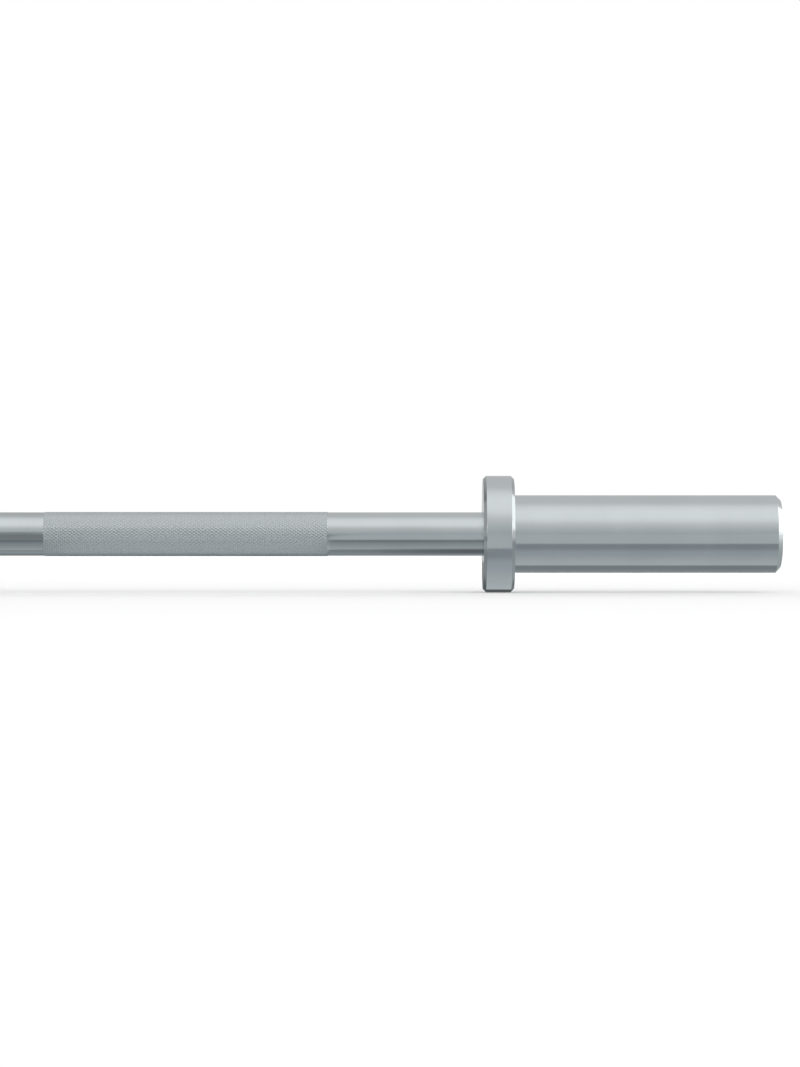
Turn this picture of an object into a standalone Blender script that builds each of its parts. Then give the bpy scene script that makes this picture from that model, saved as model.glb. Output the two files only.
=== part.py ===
"""Short straight barbell with plate sleeves that turn freely on the grip shaft.

The bar lies along X with its middle at the origin, and +Z is up. Sizes are in metres.
Each end has two empties on the bar's axis at the collar's inner face, with local +Z
pointing out of the bar: one carries the pieces of the sleeve, which turns, and the other
the small pieces that stay on the shaft. Both ends share their meshes.
"""

import math

import bpy

# Grip shaft
BETWEEN_COLLARS = 0.817
SHAFT_DIAMETER = 0.028
KNURL_LENGTH = 0.182
KNURL_TO_COLLAR = 0.100
KNURL_HEIGHT = 0.00025

# Shaft ends, inside the sleeves
SHOULDER_DEPTH = 0.014
SHOULDER_STEP = 0.0015
SHAFT_TIP_LENGTH = 0.006
SHAFT_END_CHAMFER = 0.001
SHAFT_END_CLEARANCE = 0.002

# Collar
COLLAR_DIAMETER = 0.075
COLLAR_WIDTH = 0.020
COLLAR_CHAMFER = 0.002
COLLAR_LIP = 0.002
LIP_CLEARANCE = 0.0006

# Sleeve tube
SLEEVE_DIAMETER = 0.050
LOADING_LENGTH = 0.1715
SLEEVE_CHAMFER = 0.003
TUBE_WALL = 0.007

# Bushings, thrust washers and dust seal
BUSHING_LENGTH = 0.040
BUSHING_CHAMFER = 0.0008
WASHER_THICKNESS = 0.002
WASHER_RIM_CLEARANCE = 0.0007
SEAL_THICKNESS = 0.003
SEAL_CHAMFER = 0.0005
SEAL_OVERLAP = 0.0018

# End cap
CAP_SEAT_WIDTH = 0.0023
CAP_THICKNESS = 0.003
CAP_CHAMFER = 0.0006
CAP_RECESS = 0.0035

# Retaining rings, on the shaft and in the sleeve tube
SHAFT_RING_THICKNESS = 0.0015
SHAFT_GROOVE_DEPTH = 0.001
SHAFT_LUG_CLEARANCE = 0.0018
CAP_RING_THICKNESS = 0.00175
CAP_GROOVE_DEPTH = 0.0013
CAP_LUG_RADIUS = 0.0025
RING_OPENING_DEG = 50
RING_WALL_PER_LUG = 1.5
TIP_WALL_PER_LUG = 1.1
LUG_HOLE_PER_LUG = 0.42

# Gap left between pieces that touch, and between those that turn on each other
FIT_GAP = 0.0003

# Flat sides of the pieces that show and of the hidden ones, and points on a ring's arcs
OUTER_SIDES = 64
INNER_SIDES = 32
RING_ARC_POINTS = 18
LUG_ARC_POINTS = 7
LUG_HOLE_POINTS = 8

# Radii that follow
SHAFT_RADIUS = SHAFT_DIAMETER / 2
KNURL_RADIUS = SHAFT_RADIUS + KNURL_HEIGHT
JOURNAL_RADIUS = SHAFT_RADIUS - SHOULDER_STEP
SHAFT_GROOVE_RADIUS = JOURNAL_RADIUS - SHAFT_GROOVE_DEPTH
JOURNAL_FIT_RADIUS = JOURNAL_RADIUS + FIT_GAP
COLLAR_RADIUS = COLLAR_DIAMETER / 2
SLEEVE_RADIUS = SLEEVE_DIAMETER / 2
BORE_RADIUS = SLEEVE_RADIUS - TUBE_WALL
BUSHING_RADIUS = BORE_RADIUS - FIT_GAP
WASHER_RADIUS = BORE_RADIUS - WASHER_RIM_CLEARANCE
SEAL_RADIUS = BORE_RADIUS + SEAL_OVERLAP
CAP_SEAT_RADIUS = BORE_RADIUS + CAP_SEAT_WIDTH
CAP_RADIUS = CAP_SEAT_RADIUS - FIT_GAP
CAP_GROOVE_RADIUS = CAP_SEAT_RADIUS + CAP_GROOVE_DEPTH
SHAFT_RING_RADIUS = SHAFT_GROOVE_RADIUS + FIT_GAP
CAP_RING_RADIUS = CAP_GROOVE_RADIUS - FIT_GAP
SHAFT_LUG_RADIUS = (BORE_RADIUS - SHAFT_LUG_CLEARANCE - SHAFT_RING_RADIUS) / 2

# Places along an end of the bar, measured outwards from the collar's inner face
SEAL_START = COLLAR_LIP + FIT_GAP
SEAL_END = SEAL_START + SEAL_THICKNESS
TUBE_START = SEAL_END + FIT_GAP
SLEEVE_END = COLLAR_WIDTH + LOADING_LENGTH
INNER_WASHER_START = SHOULDER_DEPTH + FIT_GAP
INNER_BUSHING_START = INNER_WASHER_START + WASHER_THICKNESS + FIT_GAP
CAP_GROOVE_END = SLEEVE_END - CAP_RECESS
CAP_RING_START = CAP_GROOVE_END - FIT_GAP - CAP_RING_THICKNESS
CAP_GROOVE_START = CAP_RING_START - FIT_GAP
CAP_START = CAP_GROOVE_START - CAP_THICKNESS
CAP_SEAT = CAP_START - FIT_GAP
SHAFT_END = CAP_START - SHAFT_END_CLEARANCE
SHAFT_GROOVE_END = SHAFT_END - SHAFT_TIP_LENGTH
SHAFT_RING_START = SHAFT_GROOVE_END - FIT_GAP - SHAFT_RING_THICKNESS
SHAFT_GROOVE_START = SHAFT_RING_START - FIT_GAP
OUTER_WASHER_START = SHAFT_GROOVE_START - WASHER_THICKNESS
OUTER_BUSHING_START = OUTER_WASHER_START - FIT_GAP - BUSHING_LENGTH

# Edges bent by more than this stay sharp
SHARP_ANGLE = math.radians(25)


def clear_scene():
    for obj in list(bpy.data.objects):
        bpy.data.objects.remove(obj, do_unlink=True)


def finish(name, color, roughness, metallic):
    """A plain surface finish."""
    material = bpy.data.materials.new(name)
    material.use_nodes = True
    material.diffuse_color = (*color, 1.0)
    shader = material.node_tree.nodes["Principled BSDF"]
    shader.inputs["Base Color"].default_value = (*color, 1.0)
    shader.inputs["Roughness"].default_value = roughness
    shader.inputs["Metallic"].default_value = metallic
    return material


def place(collection, name, data, material, parent, height=0.0):
    """Adds one piece on the parent's axis, height along it from the collar's inner face."""
    if not data.materials:
        data.materials.append(material)
    piece = bpy.data.objects.new(name, data)
    piece.parent = parent
    piece.location.z = height
    collection.objects.link(piece)
    return piece


def turned(name, profile, sides, hollow):
    """Turns a profile of (radius, height) points about Z.

    The points run down the outer side, and up the bore where the piece is hollow. The flat
    sides lie at the stated radius, and one of them faces each way across the bar.
    """
    half_side = math.pi / sides
    points = [(radius, radius * math.tan(half_side), height) for radius, height in profile]
    edges = [(i, i + 1) for i in range(len(points) - 1)]
    if hollow:
        edges.append((len(points) - 1, 0))
    outline = bpy.data.meshes.new(name + "_profile")
    outline.from_pydata(points, edges, [])

    lathe = bpy.data.objects.new(name + "_lathe", outline)
    bpy.context.scene.collection.objects.link(lathe)
    screw = lathe.modifiers.new("Turn", "SCREW")
    screw.axis = "Z"
    screw.steps = screw.render_steps = sides
    screw.use_merge_vertices = True
    screw.merge_threshold = 0.00001

    graph = bpy.context.evaluated_depsgraph_get()
    mesh = bpy.data.meshes.new_from_object(lathe.evaluated_get(graph))
    mesh.name = name
    mesh.shade_smooth()
    mesh.set_sharp_from_angle(angle=SHARP_ANGLE)
    bpy.data.objects.remove(lathe)
    bpy.data.meshes.remove(outline)
    return mesh


def ring_profile(inner_radius, outer_radius, length, outer_chamfer=0.0):
    """Section of a plain ring from height 0 to length, with both outer edges chamfered."""
    if not outer_chamfer:
        outer = [(outer_radius, length), (outer_radius, 0)]
    else:
        outer = [
            (outer_radius - outer_chamfer, length),
            (outer_radius, length - outer_chamfer),
            (outer_radius, outer_chamfer),
            (outer_radius - outer_chamfer, 0),
        ]
    return [*outer, (inner_radius, 0), (inner_radius, length)]


def shaft_mesh():
    """The one-piece bar: knurled grips, shoulders, journals and ring grooves."""
    half_grip = BETWEEN_COLLARS / 2
    knurl_end = half_grip - KNURL_TO_COLLAR
    knurl_start = knurl_end - KNURL_LENGTH
    half_length = half_grip + SHAFT_END
    right_half = [
        (0, half_length),
        (JOURNAL_RADIUS - SHAFT_END_CHAMFER, half_length),
        (JOURNAL_RADIUS, half_length - SHAFT_END_CHAMFER),
        (JOURNAL_RADIUS, half_grip + SHAFT_GROOVE_END),
        (SHAFT_GROOVE_RADIUS, half_grip + SHAFT_GROOVE_END),
        (SHAFT_GROOVE_RADIUS, half_grip + SHAFT_GROOVE_START),
        (JOURNAL_RADIUS, half_grip + SHAFT_GROOVE_START),
        (JOURNAL_RADIUS, half_grip + SHOULDER_DEPTH),
        (SHAFT_RADIUS, half_grip + SHOULDER_DEPTH),
        (SHAFT_RADIUS, knurl_end),
        (KNURL_RADIUS, knurl_end),
        (KNURL_RADIUS, knurl_start),
        (SHAFT_RADIUS, knurl_start),
    ]
    left_half = [(radius, -height) for radius, height in reversed(right_half)]
    return turned("shaft", right_half + left_half, OUTER_SIDES, hollow=False)


def collar_mesh():
    """The stop ring: a socket for the tube, a seat for the seal and a lip round the shaft."""
    socket_radius = SLEEVE_RADIUS + FIT_GAP
    seal_seat_radius = SEAL_RADIUS + FIT_GAP
    lip_radius = SHAFT_RADIUS + LIP_CLEARANCE
    profile = [
        (COLLAR_RADIUS - COLLAR_CHAMFER, COLLAR_WIDTH),
        (COLLAR_RADIUS, COLLAR_WIDTH - COLLAR_CHAMFER),
        (COLLAR_RADIUS, COLLAR_CHAMFER),
        (COLLAR_RADIUS - COLLAR_CHAMFER, 0),
        (lip_radius, 0),
        (lip_radius, COLLAR_LIP),
        (seal_seat_radius, COLLAR_LIP),
        (seal_seat_radius, SEAL_END),
        (socket_radius, SEAL_END),
        (socket_radius, COLLAR_WIDTH),
    ]
    return turned("collar", profile, OUTER_SIDES, hollow=True)


def sleeve_tube_mesh():
    """The plate tube: chamfered nose, bore, and a grooved counterbore for the end cap."""
    profile = [
        (SLEEVE_RADIUS - SLEEVE_CHAMFER, SLEEVE_END),
        (SLEEVE_RADIUS, SLEEVE_END - SLEEVE_CHAMFER),
        (SLEEVE_RADIUS, TUBE_START),
        (BORE_RADIUS, TUBE_START),
        (BORE_RADIUS, CAP_SEAT),
        (CAP_SEAT_RADIUS, CAP_SEAT),
        (CAP_SEAT_RADIUS, CAP_GROOVE_START),
        (CAP_GROOVE_RADIUS, CAP_GROOVE_START),
        (CAP_GROOVE_RADIUS, CAP_GROOVE_END),
        (CAP_SEAT_RADIUS, CAP_GROOVE_END),
        (CAP_SEAT_RADIUS, SLEEVE_END),
    ]
    return turned("sleeve_tube", profile, OUTER_SIDES, hollow=True)


def bushing_mesh():
    profile = ring_profile(JOURNAL_FIT_RADIUS, BUSHING_RADIUS, BUSHING_LENGTH, BUSHING_CHAMFER)
    return turned("bushing", profile, INNER_SIDES, hollow=True)


def thrust_washer_mesh():
    profile = ring_profile(JOURNAL_FIT_RADIUS, WASHER_RADIUS, WASHER_THICKNESS)
    return turned("thrust_washer", profile, INNER_SIDES, hollow=True)


def dust_seal_mesh():
    profile = ring_profile(SHAFT_RADIUS + FIT_GAP, SEAL_RADIUS, SEAL_THICKNESS, SEAL_CHAMFER)
    return turned("dust_seal", profile, INNER_SIDES, hollow=True)


def end_cap_mesh():
    profile = [
        (0, CAP_THICKNESS),
        (CAP_RADIUS - CAP_CHAMFER, CAP_THICKNESS),
        (CAP_RADIUS, CAP_THICKNESS - CAP_CHAMFER),
        (CAP_RADIUS, 0),
        (0, 0),
    ]
    return turned("end_cap", profile, OUTER_SIDES, hollow=False)


def arc(centre, radius, start, end, steps):
    """Points on a circle about a point of the XY plane, both ends included."""
    angles = [start + (end - start) * i / steps for i in range(steps + 1)]
    return [(centre[0] + radius * math.cos(a), centre[1] + radius * math.sin(a)) for a in angles]


def ring_curve(name, seat_radius, lug_radius, thickness, outward):
    """An open retaining ring, flat in XY, that sits in a groove by its edge at seat_radius.

    Its free edge and its two lugs lie outside the seat where outward is 1, and inside it
    where outward is -1. The wall thins from the middle to the tips, which are mirror images.
    """
    tip = math.pi - math.radians(RING_OPENING_DEG) / 2
    lug_distance = seat_radius + outward * lug_radius
    lug_centre = (lug_distance * math.cos(tip), lug_distance * math.sin(tip))

    # Where the free edge meets the lug, as an angle back from the lug's middle
    tip_radius = seat_radius + outward * TIP_WALL_PER_LUG * lug_radius
    sides_squared = tip_radius**2 + lug_distance**2 - lug_radius**2
    meeting = math.acos(sides_squared / (2 * tip_radius * lug_distance))

    free_edge = []
    for i in range(RING_ARC_POINTS):
        share = i / RING_ARC_POINTS
        wall_per_lug = RING_WALL_PER_LUG + (TIP_WALL_PER_LUG - RING_WALL_PER_LUG) * share**2
        radius = seat_radius + outward * wall_per_lug * lug_radius
        angle = (tip - meeting) * share
        free_edge.append((radius * math.cos(angle), radius * math.sin(angle)))

    across = tip_radius * math.sin(meeting)
    along = tip_radius * math.cos(meeting) - lug_distance
    lug_start = tip + math.atan2(-across, along)
    lug_end = tip + (math.pi if outward > 0 else 0)
    if outward < 0:
        lug_start += 2 * math.pi
    lug_edge = arc(lug_centre, lug_radius, lug_start, lug_end, LUG_ARC_POINTS)
    seat_edge = arc((0, 0), seat_radius, tip, 0, RING_ARC_POINTS)

    half = free_edge + lug_edge + seat_edge[1:]
    other_half = [(x, -y) for x, y in reversed(half[1:-1])]
    hole_radius = LUG_HOLE_PER_LUG * lug_radius
    hole = arc(lug_centre, hole_radius, 0, 2 * math.pi, LUG_HOLE_POINTS)[:-1]
    other_hole = [(x, -y) for x, y in hole]

    curve = bpy.data.curves.new(name, "CURVE")
    curve.dimensions = "2D"
    curve.fill_mode = "BOTH"
    curve.extrude = thickness / 2
    for loop in (half + other_half, hole, other_hole):
        spline = curve.splines.new("POLY")
        spline.points.add(len(loop) - 1)
        for point, (x, y) in zip(spline.points, loop):
            point.co = (x, y, 0, 1)
        spline.use_cyclic_u = True
    return curve


def end_axis(collection, name, direction):
    """An empty on the bar's axis at a collar's inner face, with +Z out of the bar."""
    axis = bpy.data.objects.new(name, None)
    axis.empty_display_size = COLLAR_RADIUS
    axis.location.x = direction * BETWEEN_COLLARS / 2
    axis.rotation_euler.y = direction * math.pi / 2
    collection.objects.link(axis)
    return axis


def build_barbell():
    clear_scene()
    collection = bpy.data.collections.new("barbell")
    bpy.context.scene.collection.children.link(collection)

    satin_steel = finish("satin_steel", (0.60, 0.63, 0.64), 0.22, 1.0)
    knurled_steel = finish("knurled_steel", (0.58, 0.61, 0.62), 0.30, 1.0)
    bearing_bronze = finish("bearing_bronze", (0.60, 0.40, 0.18), 0.35, 1.0)
    plated_washer = finish("plated_washer", (0.62, 0.62, 0.60), 0.35, 1.0)
    spring_steel = finish("spring_steel", (0.10, 0.10, 0.11), 0.40, 1.0)
    seal_rubber = finish("seal_rubber", (0.02, 0.02, 0.02), 0.70, 0.0)

    shaft = place(collection, "shaft", shaft_mesh(), knurled_steel, None)
    shaft.rotation_euler.y = math.pi / 2

    collar = collar_mesh()
    tube = sleeve_tube_mesh()
    bushing = bushing_mesh()
    washer = thrust_washer_mesh()
    seal = dust_seal_mesh()
    cap = end_cap_mesh()
    shaft_ring = ring_curve(
        "shaft_retaining_ring", SHAFT_RING_RADIUS, SHAFT_LUG_RADIUS, SHAFT_RING_THICKNESS, 1
    )
    cap_ring = ring_curve(
        "cap_retaining_ring", CAP_RING_RADIUS, CAP_LUG_RADIUS, CAP_RING_THICKNESS, -1
    )
    shaft_ring_height = SHAFT_RING_START + SHAFT_RING_THICKNESS / 2
    cap_ring_height = CAP_RING_START + CAP_RING_THICKNESS / 2

    turning = (
        ("collar", collar, satin_steel, 0),
        ("sleeve_tube", tube, satin_steel, 0),
        ("dust_seal", seal, seal_rubber, SEAL_START),
        ("inner_bushing", bushing, bearing_bronze, INNER_BUSHING_START),
        ("outer_bushing", bushing, bearing_bronze, OUTER_BUSHING_START),
        ("end_cap", cap, satin_steel, CAP_START),
        ("cap_retaining_ring", cap_ring, spring_steel, cap_ring_height),
    )
    staying = (
        ("inner_thrust_washer", washer, plated_washer, INNER_WASHER_START),
        ("outer_thrust_washer", washer, plated_washer, OUTER_WASHER_START),
        ("shaft_retaining_ring", shaft_ring, spring_steel, shaft_ring_height),
    )
    for side, direction in (("right", 1), ("left", -1)):
        sleeve_axis = end_axis(collection, side + "_sleeve_axis", direction)
        shaft_end = end_axis(collection, side + "_shaft_end", direction)
        for parent, pieces in ((sleeve_axis, turning), (shaft_end, staying)):
            for name, data, material, height in pieces:
                place(collection, f"{side}_{name}", data, material, parent, height)


build_barbell()
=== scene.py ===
import math

import bpy
import numpy as np
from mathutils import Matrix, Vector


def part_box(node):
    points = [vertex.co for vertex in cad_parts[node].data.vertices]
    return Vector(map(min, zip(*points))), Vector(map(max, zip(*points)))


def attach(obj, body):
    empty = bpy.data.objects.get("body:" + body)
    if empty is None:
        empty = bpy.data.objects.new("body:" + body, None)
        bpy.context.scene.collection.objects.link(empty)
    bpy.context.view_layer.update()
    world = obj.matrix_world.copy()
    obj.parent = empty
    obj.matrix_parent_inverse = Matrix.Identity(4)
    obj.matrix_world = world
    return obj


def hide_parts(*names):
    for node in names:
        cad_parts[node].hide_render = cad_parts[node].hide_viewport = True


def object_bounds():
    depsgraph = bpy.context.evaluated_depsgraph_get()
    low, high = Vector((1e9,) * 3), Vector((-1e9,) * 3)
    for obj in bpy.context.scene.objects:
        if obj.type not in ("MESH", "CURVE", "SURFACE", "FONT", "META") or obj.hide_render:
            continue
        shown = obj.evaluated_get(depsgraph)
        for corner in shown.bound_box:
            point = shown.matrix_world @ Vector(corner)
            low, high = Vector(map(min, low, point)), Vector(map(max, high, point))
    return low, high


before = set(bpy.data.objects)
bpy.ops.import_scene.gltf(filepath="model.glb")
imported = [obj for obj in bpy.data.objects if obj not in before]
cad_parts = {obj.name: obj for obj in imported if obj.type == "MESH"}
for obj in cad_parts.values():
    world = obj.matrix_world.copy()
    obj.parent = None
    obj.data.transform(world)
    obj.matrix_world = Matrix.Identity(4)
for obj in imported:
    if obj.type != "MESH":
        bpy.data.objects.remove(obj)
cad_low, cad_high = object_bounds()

# Grip shaft: one bar of hard-chromed steel with its ends stepped down to run in the sleeves. Two
# grips of diamond knurl are rolled into it cold, so they stand a little proud of the smooth bar.
SHAFT_RADIUS = 0.014
SHAFT_EDGE = 0.0003
JOURNAL_RADIUS = 0.0125
JOURNAL_CHAMFER = 0.001
SNAP_GROOVE_DEPTH = 0.001
SNAP_GROOVE_PLAY = 0.0003
SHOULDER_DEPTH = 0.014
KNURL_TO_COLLAR = 0.100
KNURL_LENGTH = 0.182
KNURL_RISE = 0.00025
KNURL_DEPTH = 0.00021
KNURL_END_SLOPE = 0.00012
KNURL_UNEVENNESS = 0.00001
DIAMONDS_AROUND = 45
DIAMONDS_ALONG = 64
DIAMOND_FLAT = 0.2
CHROME_COLOUR = (0.624, 0.667, 0.682)
SMOOTH_ANGLE = 35
KNURL_SMOOTH_ANGLE = 14


def eased(corners, easing, closed=False):
    """Rounds the corners of a turned outline of (place, radius) points.

    Gives (place, radius, wear) points, with wear 1 on the round of an outside corner. The outline
    runs with the metal on its right. Points beside each round keep the flats shaded flat, and
    each corner keeps to its own share of the two edges that meet there.
    """
    arc_steps = 4
    edge_share = 0.42
    round_share = 0.6
    support_reach = 1.5
    outline = []
    for i, corner in enumerate(corners):
        if not closed and i in (0, len(corners) - 1):
            outline.append((*corner, 0.0))
            continue
        here = np.array(corner, float)
        back = np.array(corners[i - 1]) - here
        ahead = np.array(corners[(i + 1) % len(corners)]) - here
        room = edge_share * np.array([np.linalg.norm(back), np.linalg.norm(ahead)])
        back /= np.linalg.norm(back)
        ahead /= np.linalg.norm(ahead)
        turn = math.pi - math.acos(float(np.clip(back @ ahead, -1, 1)))
        reach = min(easing * math.tan(turn / 2), round_share * room.min())
        wear = float(back[0] * ahead[1] - back[1] * ahead[0] > 0)
        to_centre = (back + ahead) / np.linalg.norm(back + ahead)
        centre = here + to_centre * reach / math.sin(turn / 2)
        start = here + back * reach - centre
        end = here + ahead * reach - centre
        outline.append((*(here + back * min(support_reach * reach, room[0])), 0.0))
        for step in range(arc_steps + 1):
            share = step / arc_steps
            spoke = math.sin((1 - share) * turn) * start + math.sin(share * turn) * end
            outline.append((*(centre + spoke / math.sin(turn)), wear))
        outline.append((*(here + ahead * min(support_reach * reach, room[1])), 0.0))
    return outline


class TurnedMesh:
    """Rings of points about the bar's axis, X, and the faces between them."""

    def __init__(self, angles):
        self.angles = angles
        self.points = []
        self.wear = []
        self.faces = []

    def point(self, place, radius, angle, wear):
        self.points.append((place, radius * math.cos(angle), radius * math.sin(angle)))
        self.wear.append(wear)
        return len(self.points) - 1

    def ring(self, place, radius, wear):
        """One ring, or the single point that closes an end on the axis."""
        angles = self.angles if radius > 0 else [0.0]
        return [self.point(place, radius, angle, wear) for angle in angles]

    def join(self, ring, following):
        count = max(len(ring), len(following))
        for i in range(count):
            j = (i + 1) % count
            corners = [ring[i % len(ring)], ring[j % len(ring)]]
            corners += [following[j % len(following)], following[i % len(following)]]
            self.faces.append(tuple(dict.fromkeys(corners)))

    def stretch(self, outline, closed=False):
        """Turns an outline, and gives its first and its last ring."""
        rings = [self.ring(*point) for point in outline]
        for ring, following in zip(rings, rings[1:]):
            self.join(ring, following)
        if closed:
            self.join(rings[-1], rings[0])
        return rings[0], rings[-1]

    def mesh(self, name, smooth_angle=SMOOTH_ANGLE):
        mesh = bpy.data.meshes.new(name)
        mesh.from_pydata(self.points, [], self.faces)
        wear = mesh.attributes.new("wear", "FLOAT", "POINT")
        wear.data.foreach_set("value", self.wear)
        mesh.shade_smooth()
        mesh.set_sharp_from_angle(angle=math.radians(smooth_angle))
        return mesh


def grip_ends():
    """Where the right-hand grip starts and ends along the bar."""
    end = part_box("right_collar")[0].x - KNURL_TO_COLLAR
    return end - KNURL_LENGTH, end


def knurl_angles():
    """Where a ring meets the knurl: at each groove, and at both corners of each flat."""
    pitch = 2 * math.pi / DIAMONDS_AROUND
    half_flat = DIAMOND_FLAT / 2
    return [
        (diamond + place) * pitch
        for diamond in range(DIAMONDS_AROUND)
        for place in (0, 0.5 - half_flat, 0.5 + half_flat)
    ]


def roll_knurl(bar, start, chance):
    """Rolls one grip into the bar from start, and gives its two end rings.

    Grooves cross at the lattice points. Each diamond between four of them is a low pyramid with
    a flat top, and those of the two end rows are cut in half.
    """
    pitch = 2 * math.pi / DIAMONDS_AROUND
    rows = 2 * DIAMONDS_ALONG
    row_step = KNURL_LENGTH / rows
    top_radius = SHAFT_RADIUS + KNURL_RISE
    groove_radius = top_radius - KNURL_DEPTH
    lattice = [
        [bar.point(start + row * row_step, groove_radius, (j + row % 2 / 2) * pitch, 0.0)
         for j in range(DIAMONDS_AROUND)]
        for row in range(rows + 1)
    ]
    end_rings = ([], [])
    for row in range(rows + 1):
        place = start + row * row_step
        for j in range(DIAMONDS_AROUND):
            middle = (j + 0.5 + row % 2 / 2) * pitch
            beside = (j + row % 2) % DIAMONDS_AROUND
            height = top_radius - KNURL_UNEVENNESS * chance.random()
            flat = {"left": bar.point(place, height, middle - DIAMOND_FLAT * pitch / 2, 1.0),
                    "right": bar.point(place, height, middle + DIAMOND_FLAT * pitch / 2, 1.0)}
            foot = {"left": lattice[row][j], "right": lattice[row][(j + 1) % DIAMONDS_AROUND]}
            if row > 0:
                flat["near"] = bar.point(place - DIAMOND_FLAT * row_step, height, middle, 1.0)
                foot["near"] = lattice[row - 1][beside]
            if row < rows:
                flat["far"] = bar.point(place + DIAMOND_FLAT * row_step, height, middle, 1.0)
                foot["far"] = lattice[row + 1][beside]
            way_round = [corner for corner in ("near", "right", "far", "left") if corner in flat]
            for corner, following in zip(way_round, way_round[1:] + way_round[:1]):
                if {corner, following} != {"left", "right"}:
                    bar.faces.append((foot[corner], foot[following], flat[following], flat[corner]))
            bar.faces.append(tuple(flat[corner] for corner in way_round))
            if row in (0, rows):
                end_rings[row > 0].extend([foot["left"], flat["left"], flat["right"]])
    return end_rings


def shaft_mesh():
    """The whole bar in one closed mesh, from its left end to its right."""
    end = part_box("shaft")[1].x
    collar_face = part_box("right_collar")[0].x
    ring_low, ring_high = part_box("right_shaft_retaining_ring")
    groove_radius = JOURNAL_RADIUS - SNAP_GROOVE_DEPTH
    knurl_start, knurl_end = grip_ends()
    right_end = [
        (knurl_end + KNURL_END_SLOPE, SHAFT_RADIUS),
        (collar_face + SHOULDER_DEPTH, SHAFT_RADIUS),
        (collar_face + SHOULDER_DEPTH, JOURNAL_RADIUS),
        (ring_low.x - SNAP_GROOVE_PLAY, JOURNAL_RADIUS),
        (ring_low.x - SNAP_GROOVE_PLAY, groove_radius),
        (ring_high.x + SNAP_GROOVE_PLAY, groove_radius),
        (ring_high.x + SNAP_GROOVE_PLAY, JOURNAL_RADIUS),
        (end - JOURNAL_CHAMFER, JOURNAL_RADIUS),
        (end, JOURNAL_RADIUS - JOURNAL_CHAMFER),
        (end, 0),
    ]
    right_outline = eased(right_end, SHAFT_EDGE)
    left_outline = [(-place, radius, wear) for place, radius, wear in reversed(right_outline)]
    middle = knurl_start - KNURL_END_SLOPE
    middle_outline = [(share * middle, SHAFT_RADIUS, 0.0) for share in (-1, -0.5, 0, 0.5, 1)]

    bar = TurnedMesh(knurl_angles())
    chance = np.random.default_rng(7)
    left_stretch = bar.stretch(left_outline)
    left_knurl = roll_knurl(bar, -knurl_end, chance)
    middle_stretch = bar.stretch(middle_outline)
    right_knurl = roll_knurl(bar, knurl_start, chance)
    right_stretch = bar.stretch(right_outline)
    bar.join(left_stretch[1], left_knurl[0])
    bar.join(left_knurl[1], middle_stretch[0])
    bar.join(middle_stretch[1], right_knurl[0])
    bar.join(right_knurl[1], right_stretch[0])
    mesh = bar.mesh("grip_shaft", KNURL_SMOOTH_ANGLE)
    for polygon in mesh.polygons:
        place = abs(polygon.center.x)
        polygon.material_index = int(knurl_start <= place <= knurl_end)
    return mesh


def add(tree, kind, feeds, **settings):
    """Adds a node. Feeds gives each input its value, or the output that leads to it."""
    node = tree.nodes.new("ShaderNode" + kind)
    for name, value in settings.items():
        setattr(node, name, value)
    for socket, value in feeds.items():
        if isinstance(value, bpy.types.NodeSocket):
            tree.links.new(value, node.inputs[socket])
        else:
            node.inputs[socket].default_value = value
    return node


def maths(tree, operation, first, second=0.0):
    return add(tree, "Math", {0: first, 1: second}, operation=operation).outputs[0]


def blend(tree, factor, first, second):
    """Mixes two colours."""
    feeds = {"Factor": factor, 6: first, 7: second}
    return add(tree, "Mix", feeds, data_type="RGBA").outputs[2]


def fade(tree, value, start, end, before=0.0, after=1.0):
    """Goes smoothly from before to after while the value goes from start to end."""
    feeds = {"Value": value, "From Min": start, "From Max": end, "To Min": before, "To Max": after}
    return add(tree, "MapRange", feeds, interpolation_type="SMOOTHSTEP").outputs[0]


def toned(colour, share):
    return tuple(share * channel for channel in colour)


def opaque(colour, share=1.0):
    return (*toned(colour, share), 1.0)


def effect(name, inputs, outputs):
    """A new node group with its sockets, and its input and output nodes."""
    tree = bpy.data.node_groups.new(name, "ShaderNodeTree")
    for socket, value in inputs.items():
        made = tree.interface.new_socket(socket, in_out="INPUT", socket_type="NodeSocketFloat")
        made.default_value = value
    for socket in outputs:
        tree.interface.new_socket(socket, in_out="OUTPUT", socket_type="NodeSocketFloat")
    return tree, tree.nodes.new("NodeGroupInput"), tree.nodes.new("NodeGroupOutput")


def turning_marks():
    """Fine tool marks: rings along a cylinder, circles on a face, fading as they go round."""
    tree, given, result = effect("turning_marks", {"Marks per metre": 2500.0}, ["Marks"])
    per_metre = given.outputs["Marks per metre"]
    place = add(tree, "TexCoord", {}).outputs["Object"]
    parts = add(tree, "SeparateXYZ", {0: place}).outputs
    across = maths(tree, "ADD", maths(tree, "MULTIPLY", parts[1], parts[1]),
                   maths(tree, "MULTIPLY", parts[2], parts[2]))
    radius = maths(tree, "SQRT", across)
    slow = 40.0
    spot = add(tree, "CombineXYZ", {
        0: maths(tree, "MULTIPLY", parts[0], per_metre),
        1: maths(tree, "MULTIPLY", parts[1], slow),
        2: maths(tree, "MULTIPLY", parts[2], slow),
    }).outputs[0]
    feeds = {"Vector": spot, "W": maths(tree, "MULTIPLY", radius, per_metre),
             "Scale": 1.0, "Detail": 3.0, "Roughness": 0.6}
    noise = add(tree, "TexNoise", feeds, noise_dimensions="4D").outputs[0]
    tree.links.new(noise, result.inputs["Marks"])
    return tree


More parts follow.
